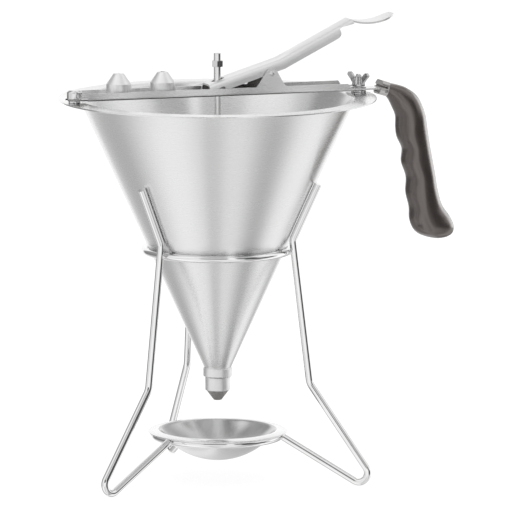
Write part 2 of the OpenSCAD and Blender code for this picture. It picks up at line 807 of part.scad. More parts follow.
upper_ring();
lower_ring();
leg_left();
leg_right();
leg_rear();
drip_dish();
cone_shell();
outlet_collar();
keeper_stud();
clamp_stud();
stud_spacer();
bridge_channel();
rod_guide();
park_peg_outer();
park_peg_inner();
pivot_pin();
return_spring();
clamp_washer();
wing_nut();
grip_ferrule();
grip_rivet();
grip();
lever();
valve_rod();
lift_pin();
valve_plug();
adjusting_nut();
nozzle();
spare_nozzle_outer();
spare_nozzle_inner();
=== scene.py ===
"""Looks of the batter funnel with its lever valve, wire stand and drip dish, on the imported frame."""

import math

import bmesh
import bpy
from mathutils import Matrix, Vector, noise


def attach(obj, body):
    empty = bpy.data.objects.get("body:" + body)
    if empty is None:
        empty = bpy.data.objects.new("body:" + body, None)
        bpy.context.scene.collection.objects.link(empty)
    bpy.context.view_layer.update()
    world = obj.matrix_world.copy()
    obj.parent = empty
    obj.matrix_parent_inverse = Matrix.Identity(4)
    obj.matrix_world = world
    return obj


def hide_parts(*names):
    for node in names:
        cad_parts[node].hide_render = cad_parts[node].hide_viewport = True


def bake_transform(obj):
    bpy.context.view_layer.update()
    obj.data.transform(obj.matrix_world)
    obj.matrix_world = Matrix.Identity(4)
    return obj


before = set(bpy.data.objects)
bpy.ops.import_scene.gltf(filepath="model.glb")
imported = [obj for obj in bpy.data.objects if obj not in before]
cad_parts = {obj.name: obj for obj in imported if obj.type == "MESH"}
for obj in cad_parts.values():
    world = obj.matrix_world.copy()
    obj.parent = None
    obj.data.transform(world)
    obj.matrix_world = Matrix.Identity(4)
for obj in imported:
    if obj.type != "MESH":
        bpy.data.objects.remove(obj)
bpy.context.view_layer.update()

MM = 0.001

# ---- sizes, in millimetres

RIM_Z = 262.0
FLANGE_R = 108.0
CONE_HALF_ANGLE = math.radians(24.6)
CONE_APEX_Z = 56.7
CONE_SHEET = 1.0
RIM_BEND_R = 2.5
CONE_BOTTOM_Z = 74.0

COLLAR_R = 9.8
COLLAR_TOP_R = 9.35
COLLAR_Z0 = 70.5
THREAD_R = 6.45
THREAD_DEPTH = 0.45
SPOUT_Z0 = 63.0
SPOUT_BORE_R = 4.6

NOZZLE_R = 8.5
NOZZLE_ROUND_H = 8.9
NOZZLE_CONE_H = 7.1
NOZZLE_BORE_H = 8.3
FACE_GAP = 0.3

BRIDGE_FLOOR_Z = RIM_Z + 2.8
PARK_X = (-69.8, -38.9)
FIXING_R = 101.0
SPACER_H = 1.8
WASHER_H = 0.8
# Along the bridge: where its painted shade inside begins and fades out, and where the painted dark line
# along its foot fades.
INSIDE_FROM_X = (8, 12)
INSIDE_TO_X = (62, 40)
FOOT_TO_X = (30, 60)

PIVOT = Vector((35.4, 0.0, RIM_Z + 16.1))
ROD_R = 2.5

WIRE_R = 2.5
UPPER_RING_R = 49.5
UPPER_RING_Z = 158.2
LOWER_RING_R = 43.4
LOWER_RING_Z = 30.4
LEG_TURNS = {"left": 207, "right": 325, "rear": 91}
LEG_SPREAD = 0.1242  # how far a leg runs outwards for each millimetre down, above its knee
PRONG_TOP_Z = 205.6
PRONG_BEND_Z = 166.5
PRONG_BEND_R = 8
KNEE_Z = 68.8
KNEE_R = 11
FOOT_REACH = 106.5
FOOT_R = 6.5
LEG_ROOT_R = 47.0
WELD_SIZE = Vector((1.1, 2.3, 1.7))  # half a bead's size: outwards, along the ring and upwards

DISH_BALL_Z = 63.2
DISH_BALL_R = 49.8
DISH_MOUTH_R = 40.6
DISH_SHEET = 0.8

FERRULE_ORIGIN = Vector((115.3, 0.0, RIM_Z + 3.07))
FERRULE_TURN = Matrix.Rotation(math.radians(17), 4, "Y")
GRIP_W = 25.0


def cone_r(z):
    return (z - CONE_APEX_Z) * math.tan(CONE_HALF_ANGLE)


# ---- mesh helpers


def add_object(name, data):
    piece = bpy.data.objects.new(name, data)
    bpy.context.scene.collection.objects.link(piece)
    return piece


def repaint(piece, material):
    piece.data.materials.clear()
    piece.data.materials.append(material)


def dress(piece, body, slot, *nodes, material=None):
    """Gives a piece its body, the nodes it stands for and, unless it has one, its finish; slot is not
    used.
    """
    if material is not None:
        repaint(piece, material)
    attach(piece, body)
    if nodes:
        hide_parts(*nodes)


def put(piece, at, turn=Matrix.Identity(4)):
    """Turns a piece at the origin, then moves it to a place in millimetres."""
    piece.data.transform(Matrix.Translation(Vector(at) * MM) @ turn)
    return piece


def folds_past(edge, degrees):
    return edge.is_manifold and edge.calc_face_angle(0) > math.radians(degrees)


def settle(piece, sharp, merge=1e-6):
    """Merges doubles, turns faces outward and shades smooth, but for edges that fold past sharp."""
    work = bmesh.new()
    work.from_mesh(piece.data)
    bmesh.ops.remove_doubles(work, verts=work.verts, dist=merge)
    bmesh.ops.dissolve_degenerate(work, edges=work.edges, dist=merge)
    bmesh.ops.recalc_face_normals(work, faces=work.faces)
    for face in work.faces:
        face.smooth = True
    for edge in work.edges:
        edge.smooth = not folds_past(edge, sharp)
    work.to_mesh(piece.data)
    work.free()
    piece.data.update()
    return piece


def built(work, name):
    """The object made from a bmesh."""
    mesh = bpy.data.meshes.new(name)
    work.to_mesh(mesh)
    work.free()
    return add_object(name, mesh)


def baked(piece, name):
    """A plain object made from a piece and its modifiers; the piece itself goes."""
    graph = bpy.context.evaluated_depsgraph_get()
    graph.update()
    mesh = bpy.data.meshes.new_from_object(piece.evaluated_get(graph))
    bpy.data.objects.remove(piece)
    mesh.name = name
    return add_object(name, mesh)


def skin(work, rings, closed=False):
    """Joins each ring of vertices to the next with quads, and the last to the first if closed."""
    following = rings[1:] + rings[:1] if closed else rings[1:]
    for low, high in zip(rings, following):
        for i in range(len(low)):
            j = (i + 1) % len(low)
            work.faces.new((low[i], low[j], high[j], high[i]))


def ring_round_z(work, radius_at, z, steps):
    """Vertices round Z at one height, each as far out as radius_at says for its angle."""
    angles = [2 * math.pi * i / steps for i in range(steps)]
    spots = [(radius_at(a) * math.cos(a), radius_at(a) * math.sin(a), z) for a in angles]
    return [work.verts.new(Vector(spot) * MM) for spot in spots]


def arc(centre, radius, start, end, steps):
    """Points on an arc from start to end degrees, as (across, up)."""
    angles = [math.radians(start + (end - start) * i / steps) for i in range(steps + 1)]
    return [(centre[0] + radius * math.cos(a), centre[1] + radius * math.sin(a)) for a in angles]


def between(a, b, t):
    return tuple(p * (1 - t) + q * t for p, q in zip(a, b))


def curved(first, corner, last, t):
    """The point at share t of a curve from first to last that is drawn towards the corner."""
    return between(between(first, corner, t), between(corner, last, t), t)


def softened(points, radius, steps=3):
    """The closed outline with its corners rounded to radius, or to a corner's own third number."""
    out = []
    for i, corner in enumerate(points):
        here = Vector(corner[:2])
        size = corner[2] if len(corner) > 2 else radius
        back = Vector(points[i - 1][:2]) - here
        ahead = Vector(points[(i + 1) % len(points)][:2]) - here
        turn = math.pi - back.angle(ahead) if back.length and ahead.length else 0
        if turn < math.radians(8) or size <= 0:
            out.append(tuple(here))
            continue
        room = min(back.length, ahead.length) * 0.45
        reach = min(size * math.tan(turn / 2), room)
        first = here + back.normalized() * reach
        last = here + ahead.normalized() * reach
        out += [curved(first, here, last, k / steps) for k in range(steps + 1)]
    return out


def sheet_outline(middle, thickness, end_steps=4, last_power=1.0):
    """Closed outline of a sheet of that thickness along its middle line, with rounded edges.

    A last_power under 1 makes the edge at the line's end squarer, as where it is cut and dressed.
    """
    half = thickness / 2
    line = [Vector(p) for p in middle]
    sides = []
    for i in range(len(line)):
        along = (line[min(i + 1, len(line) - 1)] - line[max(i - 1, 0)]).normalized()
        sides.append(Vector((-along.y, along.x)))
    left = [p + s * half for p, s in zip(line, sides)]
    right = [p - s * half for p, s in zip(line, sides)]

    def nose(p, s, direction, power=1.0):
        points = []
        for k in range(1, end_steps):
            a = math.pi * k / end_steps
            across = math.copysign(abs(math.cos(a)) ** power, math.cos(a))
            points.append(p + (s * across + direction * math.sin(a) ** power) * half)
        return points

    ahead = (line[-1] - line[-2]).normalized()
    behind = (line[0] - line[1]).normalized()
    loop = left + nose(line[-1], sides[-1], ahead, last_power) + right[::-1]
    loop += nose(line[0], -sides[0], behind)
    return [tuple(p) for p in loop]


# ---- node trees


class Nodes:
    """Adds nodes to a tree. An input takes a plain value, a socket, or a node for its first output."""

    def __init__(self, tree):
        self.tree = tree

    def feed(self, socket, value):
        if isinstance(value, bpy.types.Node):
            value = value.outputs[0]
        if isinstance(value, bpy.types.NodeSocket):
            self.tree.links.new(value, socket)
        else:
            socket.default_value = value

    def node(self, kind, inputs=None, **settings):
        made = self.tree.nodes.new(kind)
        for key, value in settings.items():
            setattr(made, key, value)
        for key, value in (inputs or {}).items():
            self.feed(made.inputs[key], value)
        return made

    def maths(self, operation, a, b=0.0):
        return self.node("ShaderNodeMath", {0: a, 1: b}, operation=operation)

    def plus(self, a, b):
        return self.maths("ADD", a, b)

    def times(self, a, b):
        return self.maths("MULTIPLY", a, b)

    def split(self, vector):
        return self.node("ShaderNodeSeparateXYZ", {0: vector}).outputs

    def vector(self, x, y, z):
        return self.node("ShaderNodeCombineXYZ", {0: x, 1: y, 2: z})


class Shape(Nodes):
    """A geometry node tree with named inputs, which ends in plain geometry with its finish on."""

    def __init__(self, name):
        super().__init__(bpy.data.node_groups.new(name, "GeometryNodeTree"))
        self.start = self.node("NodeGroupInput")
        self.end = self.node("NodeGroupOutput")

    def take(self, name, kind):
        self.tree.interface.new_socket(name, in_out="INPUT", socket_type="NodeSocket" + kind)
        return self.start.outputs[name]

    def swept(self, curve, sides, radius):
        """A bar of that many sides along a curve, closed at both ends."""
        section = self.node("GeometryNodeCurvePrimitiveCircle", {"Resolution": sides, "Radius": radius})
        return self.node("GeometryNodeCurveToMesh", {
            "Curve": curve, "Profile Curve": section, "Fill Caps": True,
        })

    def give(self, geometry, name):
        """Ends the tree: its last input is the finish, and its one output the finished geometry."""
        finish = self.take("Finish", "Material")
        whole = self.node("GeometryNodeRealizeInstances", {"Geometry": geometry})
        painted = self.node("GeometryNodeSetMaterial", {"Geometry": whole, "Material": finish})
        self.tree.interface.new_socket(name, in_out="OUTPUT", socket_type="NodeSocketGeometry")
        self.feed(self.end.inputs[name], painted)
        return self.tree


def turned_tree():
    """Turns a profile, points of radius and height, round Z: a piece spun or cut on a lathe."""
    t = Shape("turned_from_profile")
    profile = t.take("Profile", "Geometry")
    steps = t.take("Steps round", "Int")
    count = t.node("GeometryNodeAttributeDomainSize", {"Geometry": profile}, component="MESH")
    points = count.outputs["Point Count"]
    grid = t.node("GeometryNodeMeshGrid", {
        "Size X": 1.0, "Size Y": 1.0, "Vertices X": t.plus(steps, 1.0), "Vertices Y": points,
    })
    place = t.node("GeometryNodeInputPosition")
    x, y, _ = t.split(place)
    turn = t.times(t.plus(x, 0.5), 2 * math.pi)
    row = t.maths("ROUND", t.times(t.plus(y, 0.5), t.maths("SUBTRACT", points, 1.0)))
    sample = t.node("GeometryNodeSampleIndex", {"Geometry": profile, "Value": place, "Index": row},
                    data_type="FLOAT_VECTOR", domain="POINT")
    radius, _, height = t.split(sample)
    across, deep = (t.times(radius, t.maths(share, turn)) for share in ("COSINE", "SINE"))
    moved = t.node("GeometryNodeSetPosition", {
        "Geometry": grid, "Position": t.vector(across, deep, height),
    })
    closed = t.node("GeometryNodeMergeByDistance", {"Geometry": moved, "Distance": 1e-6})
    return t.give(closed, "Turned piece")


def wire_tree():
    """Runs a round wire along a path; the path's share attribute narrows it, as at a cut end."""
    t = Shape("wire_along_path")
    path = t.take("Path", "Geometry")
    radius = t.take("Wire radius", "Float")
    sides = t.take("Sides", "Int")
    line = t.node("GeometryNodeMeshToCurve", {"Mesh": path})
    share = t.node("GeometryNodeInputNamedAttribute", {"Name": "share"}, data_type="FLOAT")
    sized = t.node("GeometryNodeSetCurveRadius", {"Curve": line, "Radius": share})
    return t.give(t.swept(sized, sides, radius), "Wire")


def thread_tree():
    """Winds a screw thread's ridge up a rod."""
    t = Shape("screw_thread")
    t.take("Base", "Geometry")
    turns, radius, height, depth = (
        t.take(name, "Float") for name in ("Turns", "Root radius", "Length", "Depth")
    )
    spiral = t.node("GeometryNodeCurveSpiral", {
        "Resolution": 28, "Rotations": turns, "Start Radius": radius, "End Radius": radius,
        "Height": height,
    })
    upright = t.node("GeometryNodeSetCurveNormal", {"Curve": spiral}, mode="Z_UP")
    return t.give(t.swept(upright, 4, depth), "Thread")


TURNED = turned_tree()
WIRE = wire_tree()
THREAD = thread_tree()


def grown(name, base, tree, values, sharp):
    """The piece that a tree makes from a base mesh; the tree's inputs are set by identifier."""
    piece = add_object("growing", base)
    modifier = piece.modifiers.new("grow", "NODES")
    modifier.node_group = tree
    for item in tree.interface.items_tree:
        if item.in_out == "INPUT" and item.name in values:
            modifier[item.identifier] = values[item.name]
    return settle(baked(piece, name), sharp)


def line_mesh(points, closed=False, shares=None):
    mesh = bpy.data.meshes.new("line")
    count = len(points)
    edges = [(i, i + 1) for i in range(count - 1)] + ([(count - 1, 0)] if closed else [])
    mesh.from_pydata([tuple(c * MM for c in p) for p in points], edges, [])
    share = mesh.attributes.new("share", "FLOAT", "POINT")
    share.data.foreach_set("value", shares or [1.0] * count)
    return mesh


def turned(name, outline, material, steps=96, at=(0, 0, 0), sharp=32):
    """A piece turned from its outline of (radius, height) points; the outline closes on itself."""
    ring = [(max(r, 0.0), 0.0, z) for r, z in outline]
    base = line_mesh(ring + ring[:1])
    return put(grown(name, base, TURNED, {"Steps round": steps, "Finish": material}, sharp), at)


def wire(name, points, radius, material, sides=28, closed=False, shares=None):
    values = {"Wire radius": radius * MM, "Sides": sides, "Finish": material}
    return grown(name, line_mesh(points, closed, shares), WIRE, values, 40)


def screw_thread(name, root_r, length, pitch, depth, at, material):
    values = {"Turns": length / pitch, "Root radius": root_r * MM, "Length": length * MM,
              "Depth": depth * MM, "Finish": material}
    return put(grown(name, line_mesh([(0, 0, 0), (0, 0, 1)]), THREAD, values, 20), at)


# ---- finishes


class Finish(Nodes):
    """A material with Principled BSDF and the few nodes its pattern needs."""

    def __init__(self, name):
        self.material = bpy.data.materials.new(name)
        self.material.use_nodes = True
        super().__init__(self.material.node_tree)
        self.shader = self.tree.nodes["Principled BSDF"]

    def place(self, centre=(0, 0, 0)):
        """Object coordinates in metres, moved so that centre, in millimetres, is at zero."""
        coordinates = self.node("ShaderNodeTexCoord").outputs["Object"]
        shift = tuple(-c * MM for c in centre)
        return self.node("ShaderNodeMapping", {"Vector": coordinates, "Location": shift})

    def length(self, vector):
        return self.node("ShaderNodeVectorMath", {0: vector}, operation="LENGTH").outputs["Value"]

    def noise(self, vector, scale, detail=2.0, roughness=0.5):
        return self.node("ShaderNodeTexNoise", {
            "Vector": vector, "Scale": scale, "Detail": detail, "Roughness": roughness,
        })

    def brush_lines(self, vector, scale, band, roughness):
        """Fine hairlines, and the same with wider bands among them, at band times their scale."""
        hair = self.noise(vector, scale, 3.0, roughness)
        bands = self.noise(vector, scale * band)
        return hair, self.plus(self.times(hair, 0.6), self.times(bands, 0.4))

    def spread(self, value, middle, low, high):
        """Goes from low to high times the middle as the value goes from 0.25 to 0.75."""
        return self.node("ShaderNodeMapRange", {
            "Value": value, "From Min": 0.25, "From Max": 0.75, "To Min": middle * low,
            "To Max": middle * high,
        })

    def step(self, value, start, end):
        """Goes from 0 to 1 as the value goes from start to end, in millimetres."""
        return self.node("ShaderNodeMapRange", {
            "Value": value, "From Min": start * MM, "From Max": end * MM,
        })

    def tint(self, value, shade, low, high):
        """A shade made darker, low times, to lighter, high times, as the value goes from 0.3 to 0.7."""
        ramp = self.node("ShaderNodeValToRGB", {"Fac": value})
        for element, position, factor in zip(ramp.color_ramp.elements, (0.3, 0.7), (low, high)):
            element.position = position
            element.color = (*(min(1.0, c * factor) for c in shade), 1)
        return ramp

    def mix(self, share, a, b):
        """Colour a, or b where the share is one; a shade is given its alpha."""
        a, b = ((*c, 1) if isinstance(c, tuple) else c for c in (a, b))
        return self.node("ShaderNodeMix", {0: share, 6: a, 7: b}, data_type="RGBA").outputs[2]

    def bump(self, height, strength, distance):
        return self.node("ShaderNodeBump", {
            "Height": height, "Strength": strength, "Distance": distance,
        })

    def grain(self, axis, turn=0.0):
        """Tangent round an axis, so that the gloss spreads across the brush lines."""
        tangent = self.node("ShaderNodeTangent", direction_type="RADIAL", axis=axis)
        self.set(Tangent=tangent, Anisotropic_Rotation=turn)

    def set(self, **values):
        for key, value in values.items():
            self.feed(self.shader.inputs[key.replace("_", " ")], value)
        return self.material


def grey(level):
    return (level, level, level)


def spun_steel(name, shade, rough, anisotropic, centre=(0, 0, 0), fine=2600.0, shade_below=None,
               shaded_bowl=None):
    """Steel turned round Z: fine rings, each a little lighter or darker along its run.

    Below the given height the colour is painted darker: painted shade, standing in for dark reflection.
    A bowl given by its ball's height and radius and its mouth's radius gets painted shade on its hollow
    side.
    """
    f = Finish(name)
    x, y, z = f.split(f.place(centre))
    radius = f.length(f.vector(x, y, 0.0))
    angle = f.maths("ARCTAN2", y, x)
    drift = 0.004
    # Painted shade: the colour below the given height, and the share of the shade on a bowl's hollow
    # side.
    painted_dark_shade, hollow_shade_share = (0.58, 0.57, 0.56), 0.72
    across, deep = (f.times(f.maths(share, angle), drift) for share in ("COSINE", "SINE"))
    rings = f.vector(across, deep, f.plus(z, f.times(radius, 0.45)))
    hair, lines = f.brush_lines(rings, fine, 0.08, 0.65)
    colour = f.tint(lines, shade, 0.975, 1.015)
    # Painted shade: below the given height the colour is darker.
    if shade_below is not None:
        colour = f.mix(f.step(z, shade_below, shade_below + 0.15), painted_dark_shade, colour)
    # Painted shade on the bowl's hollow side.
    if shaded_bowl is not None:
        ball_z, ball_r, mouth_r = shaded_bowl
        reach = f.length(f.place((*centre[:2], ball_z)))
        hollow_shade = f.times(f.step(radius, mouth_r + 0.4, mouth_r - 0.4),
                       f.step(reach, ball_r + 0.1, ball_r - 0.1))
        colour = f.mix(hollow_shade, colour, tuple(c * hollow_shade_share for c in shade))
    f.grain("Z", 0.25)
    return f.set(
        Base_Color=colour, Metallic=1.0, Anisotropic=anisotropic,
        Roughness=f.spread(lines, rough, 0.95, 1.05),
        Normal=f.bump(hair, 0.05, 4e-6),
    )


def drawn_steel(name, shade, rough, anisotropic, foot_z=None):
    """Sheet brushed along X: long hairlines, with the gloss spread across them.

    Faces marked as inside get painted shade. On the bridge, which gives its foot's height, they get it
    only from the rod to the pivot, and faintly beyond. The bend along the foot gets a painted dark
    line too, fainter towards the grip.
    """
    f = Finish(name)
    # Colours of painted shade: inside the channel, and along the bend at the foot.
    painted_inside_shade, painted_foot_shade = (0.20, 0.19, 0.185), (0.16, 0.15, 0.145)
    x, y, z = f.split(f.place())
    hair, lines = f.brush_lines(f.vector(f.times(x, 0.03), y, z), 1500.0, 0.12, 0.6)
    colour = f.tint(lines, shade, 0.94, 1.03)
    # Painted shade on the faces marked inside.
    painted_shade_share = f.times(f.node("ShaderNodeAttribute", attribute_name="inside").outputs["Fac"], 0.75)
    if foot_z is not None:
        past_rod = f.step(x, *INSIDE_FROM_X)
        by_pivot = f.times(past_rod, f.step(x, *INSIDE_TO_X))
        painted_shade_share = f.times(painted_shade_share, f.maths("MAXIMUM", by_pivot, f.times(past_rod, 0.28)))
    colour = f.mix(painted_shade_share, colour, painted_inside_shade)
    # Painted shade: a dark line along the bend at the bridge's foot, fainter towards the grip.
    if foot_z is not None:
        over_foot = f.step(z, foot_z - 0.1, foot_z + 0.1)
        clear = f.maths("MAXIMUM", over_foot, f.times(f.step(x, *FOOT_TO_X), 0.75))
        colour = f.mix(clear, painted_foot_shade, colour)
    f.grain("X")
    return f.set(
        Base_Color=colour, Metallic=1.0, Anisotropic=anisotropic,
        Roughness=f.spread(lines, rough, 0.85, 1.15),
        Normal=f.bump(hair, 0.15, 3e-6),
    )


def clouded(name, shade, rough, cloud, grain, shades, rubbed, relief, **more):
    """A finish that is lighter and rougher in clouds, with a fine grain all over.

    Cloud and grain are noise settings; shades and rubbed are how far the colour and the roughness
    go below and above their middle; relief is the grain's strength and height.
    """
    f = Finish(name)
    place = f.place()
    clouds = f.noise(place, *cloud)
    return f.set(
        Base_Color=f.tint(clouds, shade, *shades),
        Roughness=f.spread(clouds, rough, *rubbed),
        Normal=f.bump(f.noise(place, *grain), *relief),
        **more,
    )


def bright_steel(name, shade, rough):
    """Polished steel with the faint unevenness of drawn wire and a few rubbed places."""
    return clouded(name, shade, rough, cloud=(55.0, 3.0, 0.55), grain=(900.0,), shades=(0.95, 1.02),
                   rubbed=(0.7, 1.4), relief=(0.06, 4e-6), Metallic=1.0)


def plain_steel(name, shade, rough):
    """Satin machine steel, mottled, as on pins and spacers."""
    return clouded(name, shade, rough, cloud=(240.0, 3.0, 0.6), grain=(2400.0,), shades=(0.85, 1.08),
                   rubbed=(0.8, 1.2), relief=(0.15, 1e-5), Metallic=1.0)


def moulded_plastic(name, shade, rough):
    """Dark moulded plastic: fine spark-eroded texture, satin, rubbed smoother in patches."""
    return clouded(name, shade, rough, cloud=(70.0, 3.0), grain=(2600.0, 3.0, 0.6), shades=(0.84, 1.18),
                   rubbed=(0.85, 1.15), relief=(0.35, 2e-5), IOR=2.3,
                   Specular_Tint=(1.0, 0.91, 0.88, 1.0))


CONE_STEEL = spun_steel("cone_spun_steel", grey(0.88), 0.27, 0.95, fine=2200.0)
# The dish's hollow side gets painted shade.
DISH_STEEL = spun_steel("dish_spun_steel", grey(0.90), 0.19, 0.93, fine=2200.0,
                        shaded_bowl=(DISH_BALL_Z, DISH_BALL_R, DISH_MOUTH_R))
COLLAR_STEEL = spun_steel("collar_turned_steel", grey(0.97), 0.5, 0.2)
# The bridge gets painted shade inside and a painted dark line along its foot.
BRIDGE_STEEL = drawn_steel("bridge_brushed_steel", grey(0.88), 0.26, 0.6, RIM_Z + 2.6)
LEVER_STEEL = drawn_steel("lever_brushed_steel", grey(0.93), 0.45, 0.5)
WIRE_STEEL = bright_steel("stand_polished_wire", grey(0.92), 0.06)
RIM_EDGE_STEEL = bright_steel("rim_edge_steel", grey(0.80), 0.10)
FITTING_STEEL = bright_steel("fitting_polished_steel", grey(0.80), 0.12)
CAST_STEEL = plain_steel("wing_nut_cast_steel", grey(0.74), 0.26)
FERRULE_STEEL = plain_steel("ferrule_steel", (0.62, 0.61, 0.60), 0.30)
PIN_STEEL = plain_steel("pin_steel", (0.42, 0.41, 0.41), 0.34)
SPRING_STEEL = plain_steel("spring_steel", (0.50, 0.50, 0.51), 0.25)
GRIP_PLASTIC = moulded_plastic("grip_moulded_plastic", (0.024, 0.019, 0.017), 0.24)


# ---- stand


def stand_corner(path, radii, index, step):
    """Points round one bend of a leg, about a step of degrees apart."""
    here = Vector(path[index])
    back = (Vector(path[index - 1]) - here).normalized()
    ahead = (Vector(path[index + 1]) - here).normalized()
    turn = math.pi - back.angle(ahead)
    reach = radii[index] * math.tan(turn / 2)
    centre = here + (back + ahead).normalized() * radii[index] / math.cos(turn / 2)
    count = max(2, math.ceil(math.degrees(turn) / step))
    first, last = here + back * reach - centre, here + ahead * reach - centre
    sweep = first.angle_signed(last)
    spins = [Matrix.Rotation(-sweep * k / count, 2) for k in range(count + 1)]
    return [tuple(centre + spin @ first) for spin in spins]


def leg_path():
    """Centre line of a leg in its own upright plane, as (reach, height)."""
    weld_r = UPPER_RING_R + 2 * WIRE_R - 0.1
    foot = Vector((FOOT_REACH - FOOT_R, FOOT_R + WIRE_R))
    root = Vector((LEG_ROOT_R, LOWER_RING_Z + 0.1))
    knee = Vector((weld_r + (UPPER_RING_Z - KNEE_Z) * LEG_SPREAD, KNEE_Z))

    def heading(point, side):
        """Direction from a point along the line that touches the foot's bend on one side."""
        to = foot - point
        return math.atan2(to.y, to.x) + side * math.asin(FOOT_R / to.length)

    down, back = heading(knee, 1), heading(root, -1)
    gap = root - knee
    run = (gap.x * math.sin(back) - gap.y * math.cos(back)) / math.sin(back - down)
    tip = knee + run * Vector((math.cos(down), math.sin(down)))
    prong_gap = (WIRE_R + 0.35) / math.cos(CONE_HALF_ANGLE)
    corners = [
        (cone_r(PRONG_TOP_Z) + prong_gap, PRONG_TOP_Z),
        (weld_r - (PRONG_BEND_Z - UPPER_RING_Z) * LEG_SPREAD, PRONG_BEND_Z),
        knee, tip, root,
    ]
    radii = [0, PRONG_BEND_R, KNEE_R, FOOT_R, 0]
    line = [corners[0]]
    for i in (1, 2, 3):
        line += stand_corner(corners, radii, i, step=4)
    return line + [corners[-1]]


def with_cut_ends(line, radius, chamfer=0.45):
    """The path with two more points near each end, and shares that round the cut edges."""
    first = (line[1] - line[0]).normalized() * chamfer
    last = (line[-2] - line[-1]).normalized() * chamfer
    points = [line[0], line[0] + first * 0.35, line[0] + first]
    points += line[1:-1]
    points += [line[-1] + last, line[-1] + last * 0.35, line[-1]]
    edge, near = 1 - chamfer / radius, 1 - 0.3 * chamfer / radius
    return points, [edge, near] + [1.0] * (len(points) - 4) + [near, edge]


def weld_beads(name, spots):
    """Small uneven weld beads, one mesh; each spot is a centre, the bead's run and its way out."""
    work = bmesh.new()
    stretch = Matrix.Diagonal((*(WELD_SIZE * MM), 1))
    for centre, along, across in spots:
        axes = Matrix((across, along, along.cross(across).normalized())).transposed().to_4x4()
        place = Matrix.Translation(centre * MM) @ axes @ stretch
        bmesh.ops.create_icosphere(work, subdivisions=3, radius=1.0, matrix=place)
    for vert in work.verts:
        ripple = noise.noise(vert.co * 900)
        vert.co += vert.normal * ripple * 0.12 * MM
    return settle(built(work, name), sharp=60)


def build_stand():
    for name, radius, height in (
        ("upper_ring", UPPER_RING_R, UPPER_RING_Z),
        ("lower_ring", LOWER_RING_R, LOWER_RING_Z),
    ):
        circle = [(x, y, height) for x, y in arc((0, 0), radius, 0, 360, 180)[:-1]]
        ring = wire("stand_" + name, circle, WIRE_R, WIRE_STEEL, closed=True)
        dress(ring, "stand", "polished_wire", name)
    beads = []
    for side, turn in LEG_TURNS.items():
        spin = Matrix.Rotation(math.radians(turn), 3, "Z")
        points, shares = with_cut_ends([spin @ Vector((x, 0, z)) for x, z in leg_path()], WIRE_R)
        leg = wire("stand_leg_" + side, points, WIRE_R, WIRE_STEEL, shares=shares)
        dress(leg, "stand", "polished_wire", "leg_" + side)
        for reach, height in (
            (UPPER_RING_R + WIRE_R, UPPER_RING_Z),
            (LOWER_RING_R + WIRE_R + 0.2, LOWER_RING_Z - 0.3),
        ):
            beads.append((spin @ Vector((reach, 0, height)), spin.col[1], spin.col[0]))
    dress(weld_beads("stand_welds", beads), "stand", "polished_wire", material=WIRE_STEEL)


# ---- drip dish


def build_dish():
    """Bowl that is part of a ball, a soft corner at its mouth, and a lip that falls away outwards."""
    bowl = arc((0.0, DISH_BALL_Z), DISH_BALL_R, -90, -38.8, 30)
    lip = arc((41.5, 19.36), 14.4, 91, 66.5, 10)
    corner = (40.1, 33.69)
    middle = bowl + [curved(bowl[-1], corner, lip[0], k / 6) for k in range(1, 6)] + lip
    dish = turned("dish_bowl", sheet_outline(middle, DISH_SHEET), DISH_STEEL, 160, sharp=50)
    dress(dish, "dish", "brushed_sheet", "drip_dish")


# ---- funnel


def build_cone():
    """Wall, rim bend and flat flange, spun from one sheet; the flange's edge is polished."""
    bend_z = RIM_Z - CONE_SHEET - RIM_BEND_R
    bend = (cone_r(bend_z) + RIM_BEND_R / math.cos(CONE_HALF_ANGLE), bend_z)
    top = arc(bend, RIM_BEND_R + CONE_SHEET / 2, 180 - math.degrees(CONE_HALF_ANGLE), 90, 8)
    bottom = (cone_r(CONE_BOTTOM_Z) - CONE_SHEET / 2 / math.cos(CONE_HALF_ANGLE), CONE_BOTTOM_Z)
    wall = [between(bottom, top[0], k / 12) for k in range(12)]
    flange = [(r, RIM_Z - CONE_SHEET / 2) for r in (100.0, FLANGE_R - CONE_SHEET / 2)]
    outline = sheet_outline(wall + top + flange, CONE_SHEET, 8, 0.35)
    cone = turned("funnel_cone", outline, CONE_STEEL, 256, sharp=40)
    cone.data.materials.append(RIM_EDGE_STEEL)
    for face in cone.data.polygons:
        if math.hypot(face.center.x, face.center.y) > (FLANGE_R - 0.3) * MM:
            face.material_index = 1
    dress(cone, "funnel", "brushed_sheet", "cone_shell")


def build_collar():
    """Collar at the cone's tip, and the threaded spout that the nozzle screws on."""
    seat_r = cone_r(CONE_BOTTOM_Z)
    top = CONE_APEX_Z + COLLAR_TOP_R / math.tan(CONE_HALF_ANGLE)
    root_r = THREAD_R - THREAD_DEPTH
    outline = softened([
        (SPOUT_BORE_R, SPOUT_Z0), (root_r, SPOUT_Z0), (root_r, COLLAR_Z0),
        (COLLAR_R - 0.5, COLLAR_Z0, 0.15), (COLLAR_R, COLLAR_Z0 + 0.5, 0.3),
        (COLLAR_R, top - 1.1, 0.25), (COLLAR_TOP_R, top, 0.1), (seat_r - 0.05, CONE_BOTTOM_Z),
        (seat_r - CONE_SHEET / math.cos(CONE_HALF_ANGLE), CONE_BOTTOM_Z),
        (SPOUT_BORE_R, CONE_BOTTOM_Z - 3),
    ], 0.25)
    collar = turned("funnel_outlet_collar", outline, COLLAR_STEEL)
    dress(collar, "funnel", "brushed_sheet", "outlet_collar")
    thread = screw_thread("funnel_spout_thread", root_r, length=COLLAR_Z0 - SPOUT_Z0 - 1.2,
                          pitch=1.25, depth=THREAD_DEPTH, at=(0, 0, SPOUT_Z0 + 0.6),
                          material=COLLAR_STEEL)
    dress(thread, "funnel", "brushed_sheet")


